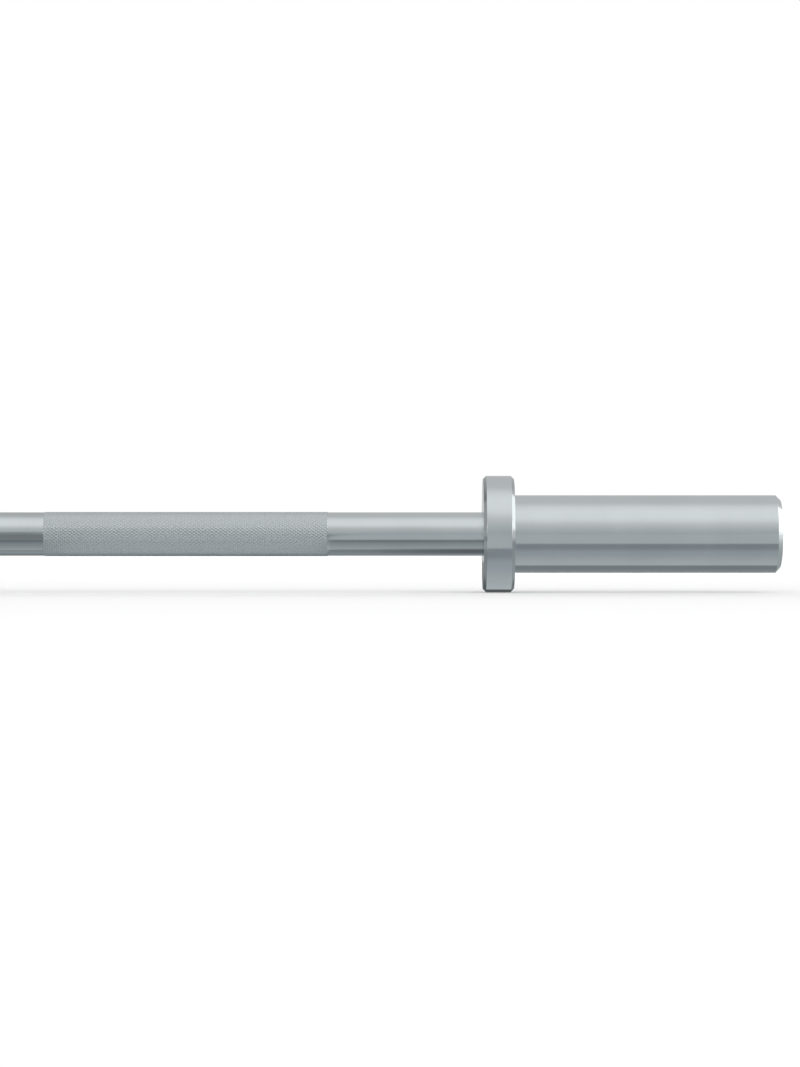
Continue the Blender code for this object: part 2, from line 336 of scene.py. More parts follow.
def handling():
    """Cloudy traces of hands and cloths, and sparse fine specks."""
    specks_per_cloud = 60.0
    tree, given, result = effect("handling", {"Size": 0.03}, ["Cloud", "Specks"])
    place = add(tree, "TexCoord", {}).outputs["Object"]
    scale = maths(tree, "DIVIDE", 1.0, given.outputs["Size"])
    cloud = add(tree, "TexNoise", {"Vector": place, "Scale": scale, "Detail": 4.0,
                                   "Roughness": 0.55, "Distortion": 0.3}).outputs[0]
    clearer = add(tree, "MapRange", {"Value": cloud, "From Min": 0.3, "From Max": 0.7})
    speck_scale = maths(tree, "MULTIPLY", scale, specks_per_cloud)
    fine = add(tree, "TexNoise", {"Vector": place, "Scale": speck_scale, "Detail": 1.0}).outputs[0]
    rare = add(tree, "MapRange", {"Value": fine, "From Min": 0.68, "From Max": 0.8})
    tree.links.new(clearer.outputs[0], result.inputs["Cloud"])
    tree.links.new(rare.outputs[0], result.inputs["Specks"])
    return tree


def worn_edges():
    """Rounded outside corners, broken up a little where the finish is rubbed."""
    least_wear = 0.3
    tree, given, result = effect("worn_edges", {"Amount": 0.6}, ["Mask"])
    wear = add(tree, "Attribute", {}, attribute_name="wear").outputs["Fac"]
    place = add(tree, "TexCoord", {}).outputs["Object"]
    patch = add(tree, "TexNoise", {"Vector": place, "Scale": 180.0, "Detail": 3.0}).outputs[0]
    broken = maths(tree, "MULTIPLY", wear, maths(tree, "ADD", patch, least_wear))
    kept = maths(tree, "MULTIPLY", broken, given.outputs["Amount"])
    tree.links.new(kept, result.inputs["Mask"])
    return tree


TURNING_MARKS = turning_marks()
HANDLING = handling()
WORN_EDGES = worn_edges()


def use(tree, effect_tree, **feeds):
    """Places an effect in a material and gives its outputs. An underscore stands for a space."""
    node = add(tree, "Group", {}, node_tree=effect_tree)
    for socket, value in feeds.items():
        node.inputs[socket.replace("_", " ")].default_value = value
    return node.outputs


def steel(name, colour, roughness, marks_per_metre, mark_height, clouding=0.03, edge_gain=1.06):
    """A metal finish with its turning marks, faint clouding and brighter rubbed edges."""
    streak_share = 0.12
    streak_tone = 0.8
    even_share = 0.85
    cloud_share = 0.3
    speck_share = 0.06
    material = bpy.data.materials.new(name)
    material.use_nodes = True
    tree = material.node_tree
    shader = tree.nodes["Principled BSDF"]
    shader.inputs["Metallic"].default_value = 1.0
    marks = use(tree, TURNING_MARKS, Marks_per_metre=marks_per_metre)["Marks"]
    traces = use(tree, HANDLING, Size=0.03)
    edges = use(tree, WORN_EDGES, Amount=0.7)["Mask"]

    shade = blend(tree, traces["Cloud"], opaque(colour, 1 - clouding), opaque(colour, 1 + clouding))
    streaks = maths(tree, "MULTIPLY", marks, streak_share)
    streaked = blend(tree, streaks, shade, opaque(colour, streak_tone))
    rubbed = blend(tree, edges, streaked, opaque(colour, edge_gain))
    tree.links.new(rubbed, shader.inputs["Base Color"])

    dulled = maths(tree, "MULTIPLY", traces["Cloud"], cloud_share * roughness)
    speckled = maths(tree, "MULTIPLY", traces["Specks"], speck_share)
    rough = maths(tree, "ADD", maths(tree, "ADD", dulled, speckled), even_share * roughness)
    tree.links.new(rough, shader.inputs["Roughness"])

    bump = add(tree, "Bump", {"Height": marks, "Strength": 1.0, "Distance": mark_height})
    tree.links.new(bump.outputs[0], shader.inputs["Normal"])
    return material


def knurled_chrome():
    """The chrome of the grips: polished on the flats by hands and duller down in the grooves, where
    painted shade also darkens its colour.
    """
    polish = 0.28
    groove_shade_tone = 0.86
    material = steel(
        "knurled_chrome", CHROME_COLOUR, roughness=0.46, marks_per_metre=900,
        mark_height=0.000004, clouding=0.05,
    )
    tree = material.node_tree
    shader = tree.nodes["Principled BSDF"]
    flat_top = add(tree, "Attribute", {}, attribute_name="wear").outputs["Fac"]
    bright = shader.inputs["Base Color"].links[0].from_socket
    # Painted shade: the flanks and grooves take a darker copy of the chrome.
    painted_groove_shade = opaque(CHROME_COLOUR, groove_shade_tone)
    tree.links.new(blend(tree, flat_top, painted_groove_shade, bright), shader.inputs["Base Color"])
    rough = shader.inputs["Roughness"].links[0].from_socket
    polished = maths(tree, "MULTIPLY", fade(tree, flat_top, 0.8, 1.0), polish)
    tree.links.new(maths(tree, "SUBTRACT", rough, polished), shader.inputs["Roughness"])
    return material


shaft = bpy.data.objects.new("grip_shaft", shaft_mesh())
bpy.context.collection.objects.link(shaft)
shaft.data.materials.append(steel(
    "shaft_chrome", CHROME_COLOUR, roughness=0.13, marks_per_metre=1500, mark_height=0.0000006,
))
shaft.data.materials.append(knurled_chrome())
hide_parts("shaft")
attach(shaft, "shaft")

# Stop collars: a ring of the same chromed steel pressed on each sleeve's inner end. It is polished
# but for the chamfer on both its sides, which is turned a little rougher and carries painted shade,
# and its bore holds the dust seal behind a thin lip.
COLLAR_CHAMFER = 0.002
COLLAR_EDGE = 0.0003
COLLAR_LIP = 0.002
LIP_RADIUS = 0.0146
PRESS_GAP = 0.0003
TURNED_SIDES = 192
SATIN_TONE = 1.02
# Painted shade: the chamfers' chrome is darkened to this share of its colour.
CHAMFER_SHADE_TONE = 0.76
CHAMFER_SLOPE_LOW = 0.4
CHAMFER_SLOPE_HIGH = 0.92


def around(sides):
    return [2 * math.pi * i / sides for i in range(sides)]


def turned(name, corners, easing, closed=True, sides=TURNED_SIDES):
    """A piece turned from corner points of (place, radius), with every edge eased."""
    piece = TurnedMesh(around(sides))
    piece.stretch(eased(corners, easing, closed), closed)
    return piece.mesh(name)


def both_ends(name, mesh, material, node, body):
    """Puts a piece on the bar's right end, and its twin, half a turn about Y, on the left one."""
    mesh.materials.append(material)
    for side, half_turn in (("right", 0.0), ("left", math.pi)):
        piece = bpy.data.objects.new(f"{side}_{name}", mesh)
        bpy.context.collection.objects.link(piece)
        piece.rotation_euler.y = half_turn
        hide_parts(f"{side}_{node}")
        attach(piece, body.format(side=side))


def collar_mesh():
    """The ring, whose two outer chamfers take the second of its materials, the darker copy with
    painted shade.
    """
    low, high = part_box("right_collar")
    tube_low, tube_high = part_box("right_sleeve_tube")
    socket_floor = tube_low.x - PRESS_GAP
    socket_radius = tube_high.z + PRESS_GAP
    seat_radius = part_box("right_dust_seal")[1].z + PRESS_GAP
    mesh = turned("stop_collar", [
        (low.x, high.z - COLLAR_CHAMFER),
        (low.x + COLLAR_CHAMFER, high.z),
        (high.x - COLLAR_CHAMFER, high.z),
        (high.x, high.z - COLLAR_CHAMFER),
        (high.x, socket_radius),
        (socket_floor, socket_radius),
        (socket_floor, seat_radius),
        (low.x + COLLAR_LIP, seat_radius),
        (low.x + COLLAR_LIP, LIP_RADIUS),
        (low.x, LIP_RADIUS),
    ], COLLAR_EDGE)
    for polygon in mesh.polygons:
        outside = math.hypot(polygon.center.y, polygon.center.z) > high.z - COLLAR_CHAMFER
        sloping = CHAMFER_SLOPE_LOW < abs(polygon.normal.x) < CHAMFER_SLOPE_HIGH
        polygon.material_index = int(outside and sloping)
    return mesh


SATIN_CHROME = steel(
    "satin_chrome", toned(CHROME_COLOUR, SATIN_TONE), roughness=0.13, marks_per_metre=1500,
    mark_height=0.0000006,
)
# The chamfers' copy of the chrome: a little rougher, and painted darker as shade. Its edge gain of
# 1.25 paints a highlight along the chamfers' eased edges, on top of their wear.
TURNED_CHROME_PAINTED_SHADE = steel(
    "turned_chrome_painted_shade", toned(CHROME_COLOUR, CHAMFER_SHADE_TONE), roughness=0.16, marks_per_metre=1500,
    mark_height=0.0000006, edge_gain=1.25,
)
collar = collar_mesh()
both_ends("stop_collar", collar, SATIN_CHROME, "collar", "{side}_sleeve")
collar.materials.append(TURNED_CHROME_PAINTED_SHADE)

# Plate sleeves: a 50 mm tube of chromed steel at each end, turned, bored and grooved for the end
# cap. The plates slide on over its chamfered nose, and the whole sleeve spins on its bushings.
SLEEVE_CHAMFER = 0.003
SLEEVE_BORE = 0.018
SLEEVE_EDGE = 0.0003
CAP_PLAY = 0.0003


def sleeve_mesh():
    low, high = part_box("right_sleeve_tube")
    cap_low, cap_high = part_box("right_end_cap")
    ring_low, ring_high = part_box("right_cap_retaining_ring")
    cap_seat = cap_high.z + CAP_PLAY
    groove_radius = max(ring_high.z, -ring_low.z) + CAP_PLAY
    return turned("plate_sleeve", [
        (low.x, high.z),
        (high.x - SLEEVE_CHAMFER, high.z),
        (high.x, high.z - SLEEVE_CHAMFER),
        (high.x, cap_seat),
        (ring_high.x + CAP_PLAY, cap_seat),
        (ring_high.x + CAP_PLAY, groove_radius),
        (ring_low.x - CAP_PLAY, groove_radius),
        (ring_low.x - CAP_PLAY, cap_seat),
        (cap_low.x - CAP_PLAY, cap_seat),
        (cap_low.x - CAP_PLAY, SLEEVE_BORE),
        (low.x, SLEEVE_BORE),
    ], SLEEVE_EDGE)


both_ends(
    "plate_sleeve", sleeve_mesh(), SATIN_CHROME, "sleeve_tube", "{side}_sleeve"
)

# Dust seals: a moulded ring of matt black rubber behind the collar's lip, which wipes the shaft
# and keeps chalk out of the bushings.
SEAL_EDGE = 0.0005
SHAFT_PLAY = 0.0003
RUBBER_COLOUR = (0.02, 0.02, 0.021)


def rubber(name, colour, roughness):
    """Matt rubber with a fine moulded grain, paler and duller where dust lies on it."""
    dust_tone = 1.8
    dust_roughness = 0.15
    material = bpy.data.materials.new(name)
    material.use_nodes = True
    tree = material.node_tree
    shader = tree.nodes["Principled BSDF"]
    shader.inputs["Metallic"].default_value = 0.0
    traces = use(tree, HANDLING, Size=0.01)
    dusty = blend(tree, traces["Cloud"], opaque(colour), opaque(colour, dust_tone))
    tree.links.new(dusty, shader.inputs["Base Color"])
    dulled = maths(tree, "MULTIPLY", traces["Cloud"], dust_roughness)
    rough = maths(tree, "ADD", dulled, roughness)
    tree.links.new(rough, shader.inputs["Roughness"])
    grain = add(tree, "TexNoise", {"Scale": 4000.0, "Detail": 2.0}).outputs[0]
    bump = add(tree, "Bump", {"Height": grain, "Strength": 0.6, "Distance": 0.00002})
    tree.links.new(bump.outputs[0], shader.inputs["Normal"])
    return material


def seal_mesh():
    low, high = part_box("right_dust_seal")
    bore = SHAFT_RADIUS + SHAFT_PLAY
    lip_place = (low.x + high.x) / 2
    lip_relief = bore + SEAL_EDGE
    return turned("rubber_seal", [
        (low.x, high.z),
        (high.x, high.z),
        (high.x, lip_relief),
        (lip_place + SEAL_EDGE, bore),
        (lip_place - SEAL_EDGE, bore),
        (low.x, lip_relief),
    ], SEAL_EDGE)


SEAL_RUBBER = rubber("seal_rubber", RUBBER_COLOUR, roughness=0.6)
both_ends("rubber_seal", seal_mesh(), SEAL_RUBBER, "dust_seal", "{side}_sleeve")

# Bushings: two plain bearings of oil-filled sintered bronze pressed in each sleeve, one near the
# collar and one near the shaft's end.
BUSHING_CHAMFER = 0.0008
BUSHING_EDGE = 0.0001
INNER_SIDES = 96
BRONZE_COLOUR = (0.60, 0.40, 0.18)


def bushing_mesh(name, node):
    low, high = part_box(node)
    bore = JOURNAL_RADIUS + SHAFT_PLAY
    return turned(name, [
        (low.x, high.z - BUSHING_CHAMFER),
        (low.x + BUSHING_CHAMFER, high.z),
        (high.x - BUSHING_CHAMFER, high.z),
        (high.x, high.z - BUSHING_CHAMFER),
        (high.x, bore),
        (low.x, bore),
    ], BUSHING_EDGE, sides=INNER_SIDES)


SINTERED_BRONZE = steel(
    "sintered_bronze", BRONZE_COLOUR, roughness=0.38, marks_per_metre=700, mark_height=0.000004,
    clouding=0.12,
)
for end in ("inner", "outer"):
    both_ends(
        f"{end}_bearing", bushing_mesh(f"{end}_bearing", f"right_{end}_bushing"),
        SINTERED_BRONZE, f"{end}_bushing", "{side}_sleeve",
    )

# Thrust washers: a flat ring of ground, zinc-plated steel on each side of the pair of bushings.
# It floats between what turns and what stands still.
WASHER_EDGE = 0.0002
ZINC_COLOUR = (0.62, 0.62, 0.60)


def washer_mesh(name, node):
    low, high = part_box(node)
    bore = JOURNAL_RADIUS + SHAFT_PLAY
    corners = [(low.x, high.z), (high.x, high.z), (high.x, bore), (low.x, bore)]
    return turned(name, corners, WASHER_EDGE, sides=INNER_SIDES)


ZINC_PLATE = steel(
    "zinc_plate", ZINC_COLOUR, roughness=0.34, marks_per_metre=1200, mark_height=0.000002,
    clouding=0.06,
)
for end in ("inner", "outer"):
    both_ends(
        f"{end}_washer", washer_mesh(f"{end}_washer", f"right_{end}_thrust_washer"),
        ZINC_PLATE, f"{end}_thrust_washer", f"{{side}}_{end}_washer",
    )

# Snap rings: stamped from spring steel and blackened, with two holed lugs for the pliers. One
# grips the groove near each end of the shaft, and a larger one holds each end cap in its sleeve.
RING_OPENING = math.radians(50)
RING_WALL_PER_LUG = 1.5
RING_TIP_PER_LUG = 1.1
LUG_HOLE_PER_LUG = 0.42
RING_BURR_ROUND = 0.00018
SHAFT_LUG_RADIUS = 0.0022
CAP_LUG_RADIUS = 0.0025
BLACKENED_COLOUR = (0.085, 0.087, 0.095)


def arc(centre, radius, start, end, steps):
    """Points of a circle about a point of the ring's plane, both ends included."""
    angles = [start + (end - start) * i / steps for i in range(steps + 1)]
    return [(centre[0] + radius * math.cos(a), centre[1] + radius * math.sin(a)) for a in angles]


def snap_ring_loops(seat_radius, lug_radius, outward):
    """The ring's outline and its two plier holes, with the opening on the drawing's side of -X."""
    edge_steps = 48
    lug_steps = 16
    hole_steps = 20
    tip = math.pi - RING_OPENING / 2
    lug_distance = seat_radius + outward * lug_radius
    lug_centre = (lug_distance * math.cos(tip), lug_distance * math.sin(tip))
    tip_radius = seat_radius + outward * RING_TIP_PER_LUG * lug_radius
    sides_squared = tip_radius**2 + lug_distance**2 - lug_radius**2
    meeting = math.acos(sides_squared / (2 * tip_radius * lug_distance))

    free_edge = []
    for i in range(edge_steps):
        share = i / edge_steps
        wall = RING_WALL_PER_LUG + (RING_TIP_PER_LUG - RING_WALL_PER_LUG) * share**2
        radius = seat_radius + outward * wall * lug_radius
        angle = (tip - meeting) * share
        free_edge.append((radius * math.cos(angle), radius * math.sin(angle)))
    across = tip_radius * math.sin(meeting)
    along = tip_radius * math.cos(meeting) - lug_distance
    lug_start = tip + math.atan2(-across, along) + (2 * math.pi if outward < 0 else 0)
    lug_end = tip + (math.pi if outward > 0 else 0)
    lug_edge = arc(lug_centre, lug_radius, lug_start, lug_end, lug_steps)
    half = free_edge + lug_edge + arc((0, 0), seat_radius, tip, 0, edge_steps)[1:]
    hole = arc(lug_centre, LUG_HOLE_PER_LUG * lug_radius, 0, 2 * math.pi, hole_steps)[:-1]
    return [
        half + [(x, -y) for x, y in reversed(half[1:-1])],
        hole,
        [(x, -y) for x, y in hole],
    ]


def snap_ring_mesh(name, node, seat_radius, lug_radius, outward):
    """The stamped ring. Outward is 1 where its lugs stand off the shaft, and -1 inside a tube."""
    low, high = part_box(node)
    curve = bpy.data.curves.new(name, "CURVE")
    curve.dimensions = "2D"
    curve.fill_mode = "BOTH"
    curve.extrude = (high.x - low.x) / 2 - RING_BURR_ROUND
    curve.bevel_depth = RING_BURR_ROUND
    curve.bevel_resolution = 2
    curve.offset = -RING_BURR_ROUND
    for loop in snap_ring_loops(seat_radius, lug_radius, outward):
        spline = curve.splines.new("POLY")
        spline.points.add(len(loop) - 1)
        for point, (x, y) in zip(spline.points, loop):
            point.co = (x, y, 0, 1)
        spline.use_cyclic_u = True
    stamped = bpy.data.objects.new(name, curve)
    bpy.context.collection.objects.link(stamped)
    stamped.rotation_euler.y = math.pi / 2
    stamped.location.x = (low.x + high.x) / 2
    graph = bpy.context.evaluated_depsgraph_get()
    mesh = bpy.data.meshes.new_from_object(stamped.evaluated_get(graph))
    mesh.transform(stamped.matrix_world)
    mesh.materials.clear()
    mesh.shade_smooth()
    mesh.set_sharp_from_angle(angle=math.radians(SMOOTH_ANGLE))
    bpy.data.objects.remove(stamped)
    bpy.data.curves.remove(curve)
    return mesh


BLACKENED_STEEL = steel(
    "blackened_steel", BLACKENED_COLOUR, roughness=0.42, marks_per_metre=1800,
    mark_height=0.000003, clouding=0.2,
)
SHAFT_RING_SEAT = JOURNAL_RADIUS - SNAP_GROOVE_DEPTH + SNAP_GROOVE_PLAY
cap_ring_low, cap_ring_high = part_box("right_cap_retaining_ring")
CAP_RING_SEAT = max(-cap_ring_low.z, cap_ring_high.z)
shaft_ring = snap_ring_mesh(
    "shaft_snap_ring", "right_shaft_retaining_ring", SHAFT_RING_SEAT, SHAFT_LUG_RADIUS, outward=1
)
both_ends(
    "shaft_snap_ring", shaft_ring, BLACKENED_STEEL, "shaft_retaining_ring", "shaft"
)
cap_ring = snap_ring_mesh(
    "cap_snap_ring", "right_cap_retaining_ring", CAP_RING_SEAT, CAP_LUG_RADIUS, outward=-1
)
both_ends(
    "cap_snap_ring", cap_ring, BLACKENED_STEEL, "cap_retaining_ring", "{side}_sleeve",
)

# End caps: a plain disc of steel that closes each sleeve. Its face is turned from the middle out,
# which leaves fine circles and the small dimple of the centre drill.
CAP_CHAMFER = 0.0006
CAP_EDGE = 0.00015
DIMPLE_RADIUS = 0.0016
DIMPLE_DEPTH = 0.0009


def cap_mesh():
    low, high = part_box("right_end_cap")
    return turned("cap_disc", [
        (low.x, 0),
        (low.x, high.z),
        (high.x - CAP_CHAMFER, high.z),
        (high.x, high.z - CAP_CHAMFER),
        (high.x, DIMPLE_RADIUS),
        (high.x - DIMPLE_DEPTH, 0),
    ], CAP_EDGE, closed=False)


FACED_STEEL = steel(
    "faced_steel", CHROME_COLOUR, roughness=0.2, marks_per_metre=1800, mark_height=0.0000025
)
both_ends("cap_disc", cap_mesh(), FACED_STEEL, "end_cap", "{side}_sleeve")

# Studio: a white floor under a rounded tent of diffusing cloth, with a bright end wall on the right
# and a grey one on the left. The walls, a flag, two edge lights and the floor cards show in the
# metal only, to shape its bands. The cards carry the floor's shade painted on, as the metal sees it.
FLOOR_REACH = 70.0
FLOOR_DROP = 0.00005
TENT_RADIUS = 2.6
TENT_HALF_LENGTH = 3.2
TENT_STEPS = 60
WALL_GAP = 0.05
LEFT_WALL_LEVEL = 0.56
RIGHT_WALL_LEVEL = 1.9
FRONT_STRIP_LEVEL = 3.4
BACK_STRIP_LEVEL = 4.2
STRIP_DISTANCE = 2.3
EDGE_LIGHT_LEVEL = 4.0
EDGE_LIGHT_TOP = 1.2
FLAG_DISTANCE = 2.2
FLAG_SPAN = (-0.5, 0.1)
FLAG_TOP = 0.5
CARD_LIFT = 0.0001
CARD_REACH = 0.16
ROOM_LEVEL = 0.85
CAMERA_PLACE = (0.35516, -2.350, 0.00035)
NEUTRAL = (1.0, 1.0, 1.0)
COOL = (0.96, 1.01, 1.03)
COLD = (0.93, 1.01, 1.06)

floor_height = cad_low.z - FLOOR_DROP
collar_low, collar_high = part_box("right_collar")
sleeve_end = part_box("right_sleeve_tube")[1].x
knurl_start, knurl_end = grip_ends()


def stage_sheet(name, corners, material, faces=((0, 1, 2, 3),)):
    """A piece of the studio made of thin sheet."""
    mesh = bpy.data.meshes.new(name)
    mesh.from_pydata(corners, [], faces)
    mesh.materials.append(material)
    sheet = bpy.data.objects.new(name, mesh)
    bpy.context.collection.objects.link(sheet)
    return sheet


def mirrored_only(piece):
    """The metal mirrors it, and it lights nothing and hides nothing."""
    piece.visible_camera = False
    piece.visible_diffuse = False
    piece.visible_transmission = False
    piece.visible_shadow = False


def emitter(name):
    """An empty material, for what shines by itself."""
    material = bpy.data.materials.new(name)
    material.use_nodes = True
    tree = material.node_tree
    tree.nodes.clear()
    output = tree.nodes.new("ShaderNodeOutputMaterial")
    return material, tree, output


def shine(tree, output, colour, strength=1.0):
    """Lets the material give off this light and nothing else."""
    glow = add(tree, "Emission", {"Color": colour, "Strength": strength}).outputs[0]
    tree.links.new(glow, output.inputs["Surface"])


def seen_rays(tree):
    """1 for what the camera sees, straight on or by way of metal or glass."""
    path = add(tree, "LightPath", {}).outputs
    seen = maths(tree, "MAXIMUM", path["Is Camera Ray"], path["Is Glossy Ray"])
    return maths(tree, "MAXIMUM", seen, path["Is Transmission Ray"])


def tones(tree, factor, stops):
    """A ramp of tones from 0 to 1 along factor. Each stop is (place, level, tint)."""
    ramp = tree.nodes.new("ShaderNodeValToRGB")
    tree.links.new(factor, ramp.inputs[0])
    elements = ramp.color_ramp.elements
    while len(elements) > 1:
        elements.remove(elements[-1])
    for i, (place, level, tint) in enumerate(stops):
        stop = elements[0] if i == 0 else elements.new(place)
        stop.position = place
        stop.color = opaque(tint, level)
    return ramp.outputs[0]


def own_place(tree):
    """The piece's own X, Y and Z at each point."""
    return add(tree, "SeparateXYZ", {0: add(tree, "TexCoord", {}).outputs["Object"]}).outputs


def white_floor():
    """White to the eye: partly by its own glow, and partly lit near the bar, where it takes shade."""
    paper = 0.86
    end_glow = 0.14
    farthest = 4.0
    glow_by_distance = [(0.0, 0.07), (1.2, 0.06), (1.6, 0.0), (1.9, 0.04), (2.1, 0.12), (2.2, 0.20),
                        (2.31, 0.42), (2.42, 0.42), (2.56, 0.47), (2.7, 0.42), (4.0, 0.36)]
    material, tree, output = emitter("white_floor")
    place = own_place(tree)
    beside = maths(tree, "ABSOLUTE", place[1])
    along = maths(tree, "MULTIPLY", maths(tree, "ABSOLUTE", place[0]), TENT_RADIUS / TENT_HALF_LENGTH)
    distance = maths(tree, "MAXIMUM", beside, along)
    glow = tones(tree, maths(tree, "DIVIDE", distance, farthest), [
        (metres / farthest, level, NEUTRAL) for metres, level in glow_by_distance
    ])
    to_ends = fade(tree, maths(tree, "ABSOLUTE", place[0]), 1.0, 1.9, after=end_glow)
    strength = maths(tree, "MULTIPLY", seen_rays(tree), maths(tree, "ADD", glow, to_ends))
    lit = add(tree, "Emission", {"Color": opaque(NEUTRAL), "Strength": strength}).outputs[0]
    matt = add(tree, "BsdfDiffuse", {"Color": opaque(NEUTRAL, paper)}).outputs[0]
    both = add(tree, "AddShader", {0: lit, 1: matt}).outputs[0]
    tree.links.new(both, output.inputs["Surface"])
    return material


def tent_cloth():
    """Brightest overhead, darker down to the horizon and towards the left end.

    Two stretches are dimmed some more: the back, left of the bar's middle, and the low shoulder of
    the front, left of the sleeve. Angles go from 0 at the tent's front foot to pi at its back foot.
    """
    left_level = 0.58
    right_gain = 0.35
    back_dimming = 0.14
    shoulder_dimming = 0.08
    material, tree, output = emitter("tent_cloth")
    place = own_place(tree)
    angle = maths(tree, "ARCTAN2", place[2], maths(tree, "MULTIPLY", place[1], -1.0))
    cloth = tones(tree, maths(tree, "DIVIDE", angle, math.pi), [
        (0.00, 0.49, COOL),
        (0.06, 0.56, COOL),
        (0.13, 0.67, NEUTRAL),
        (0.18, 0.77, NEUTRAL),
        (0.23, 0.91, NEUTRAL),
        (0.29, 0.98, NEUTRAL),
        (0.40, 0.98, NEUTRAL),
        (0.48, 0.90, NEUTRAL),
        (0.58, 0.69, NEUTRAL),
        (0.70, 0.66, NEUTRAL),
        (0.80, 0.62, NEUTRAL),
        (0.95, 0.58, NEUTRAL),
        (0.985, 0.72, NEUTRAL),
    ])
    to_left = fade(tree, place[0], -TENT_HALF_LENGTH, -0.4, before=left_level)
    to_right = fade(tree, place[0], 2.2, TENT_HALF_LENGTH, after=right_gain)
    back = maths(tree, "MULTIPLY", fade(tree, angle, 0.5 * math.pi, 0.7 * math.pi),
                 fade(tree, place[0], -0.2, 0.3, before=back_dimming, after=0.0))
    shoulder = maths(
        tree, "MULTIPLY", fade(tree, angle, 0.07 * math.pi, 0.15 * math.pi),
        fade(tree, angle, 0.20 * math.pi, 0.27 * math.pi, before=shoulder_dimming, after=0.0),
    )
    front = maths(
        tree, "MULTIPLY", shoulder, fade(tree, place[0], 0.42, 0.47, before=1.0, after=0.0)
    )
    dimmed = maths(tree, "ADD", back, front)
    strength = maths(tree, "SUBTRACT", maths(tree, "ADD", to_left, to_right), dimmed)
    shine(tree, output, cloth, strength)
    return material


def striped_card(name, stripes):
    """A card with stripes along the bar. Each is (distance behind the bar's axis, level, tint)."""
    material, tree, output = emitter(name)
    feeds = {"Value": own_place(tree)[1], "From Min": -CARD_REACH, "From Max": CARD_REACH}
    card = tones(tree, add(tree, "MapRange", feeds).outputs[0], [
        ((distance + CARD_REACH) / (2 * CARD_REACH), level, tint) for distance, level, tint in stripes
    ])
    shine(tree, output, card)
    return material


def floor_card(name, shade_edge, gain, under, strip_edge=0.0095):
    """The floor as the metal sees it: shaded from shade_edge, in front of the bar, up to the bar.

    Gain scales the tones of the shade. Under is the tone straight below the bar, in a narrow strip
    that starts at strip_edge.
    """
    open_level = 0.54
    step = 0.001
    shaded = [(1.0, 0.30), (0.84, 0.30), (0.62, 0.305), (0.46, 0.41), (0.34, 0.43), (0.24, 0.47),
              (0.15, 0.51), (0.06, 0.54), (0.006, 0.54)]
    stripes = [(-CARD_REACH, open_level, COOL), (-shade_edge - step, open_level, COOL)]
    for share, level in shaded:
        distance = strip_edge + share * (shade_edge - strip_edge)
        stripes.append((-distance, gain * level, COLD if level < 0.45 else COOL))
    return striped_card(name, stripes + [
        (-strip_edge, 1.2 * under, COLD),
        (step - strip_edge, under, COLD),
        (0.0000, under, COLD),
        (0.0050, 1.1 * under, COLD),
        (0.0150, 0.33, COLD),
        (0.0300, 0.32, COLD),
        (0.0600, 0.29, COOL),
        (CARD_REACH, 0.27, COOL),
    ])


def grip_card():
    """The card under a grip, whose rough facets blur it. Its tones are the floor's light and shade,
    painted as the grip sees them.
    """
    return striped_card("grip_card", [
        (-CARD_REACH, 0.12, COLD),
        (-0.100, 0.24, COLD),
        (-0.062, 0.50, COOL),
        (-0.035, 0.54, COOL),
        (-0.0155, 0.74, COOL),
        (-0.0105, 0.73, COOL),
        (0.000, 0.40, COLD),
        (0.008, 0.15, COLD),
        (0.020, 0.12, COLD),
        (0.032, 0.26, COLD),
        (CARD_REACH, 0.28, COLD),
    ])


def shaft_card():
    """The card under the smooth shaft, with painted shade: darker at the bar's middle, and close to
    the collars, where their shadow falls.

    At the middle it is darkest well in front of the bar, and lighter straight below it.
    """
    far_front_darkening = 0.52
    near_darkening = 0.1
    lightening_below = 0.34
    collar_darkening = 0.45
    collar_shade_length = 0.1
    material = floor_card("shaft_card", shade_edge=0.072, gain=0.86, under=0.29)
    tree = material.node_tree
    place = own_place(tree)
    from_middle = maths(tree, "ABSOLUTE", place[0])
    middle = fade(tree, from_middle, 0.12, 0.16, before=1.0, after=0.0)
    beside = maths(tree, "ABSOLUTE", place[1])
    middle_depth = maths(
        tree, "SUBTRACT",
        fade(tree, place[1], -0.09, -0.05, before=far_front_darkening, after=near_darkening),
        fade(tree, beside, 0.008, 0.014, before=lightening_below, after=0.0),
    )
    shade_start = collar_low.x - collar_shade_length
    to_collar = fade(tree, from_middle, shade_start, collar_low.x, after=collar_darkening)
    below = fade(tree, beside, 0.010, 0.016, before=1.0, after=0.0)
    darker = maths(tree, "ADD", maths(tree, "MULTIPLY", middle, middle_depth),
                   maths(tree, "MULTIPLY", to_collar, below))
    shader = next(node for node in tree.nodes if node.bl_idname == "ShaderNodeEmission")
    tree.links.new(maths(tree, "SUBTRACT", 1.0, darker), shader.inputs["Strength"])
    return material


def end_card():
    """The floor past the bar's ends, shaded near them and lighter farther off on every side."""
    material, tree, output = emitter("end_card")
    place = own_place(tree)
    outwards = maths(tree, "SUBTRACT", maths(tree, "ABSOLUTE", place[0]), sleeve_end)
    in_line = tones(tree, outwards, [
        (0.0, 0.38, COOL), (0.03, 0.45, COOL), (0.065, 0.48, COOL), (0.20, 0.76, NEUTRAL),
        (0.35, 1.0, NEUTRAL),
    ])
    beside = tones(tree, outwards, [(0.0, 0.56, COOL), (0.1, 0.64, COOL), (0.35, 1.0, NEUTRAL)])
    aside = fade(tree, maths(tree, "ABSOLUTE", place[1]), 0.055, 0.10)
    shine(tree, output, blend(tree, aside, in_line, beside))
    return material


def plain_glow(name, level):
    material, tree, output = emitter(name)
    shine(tree, output, opaque(NEUTRAL), level)
    return material


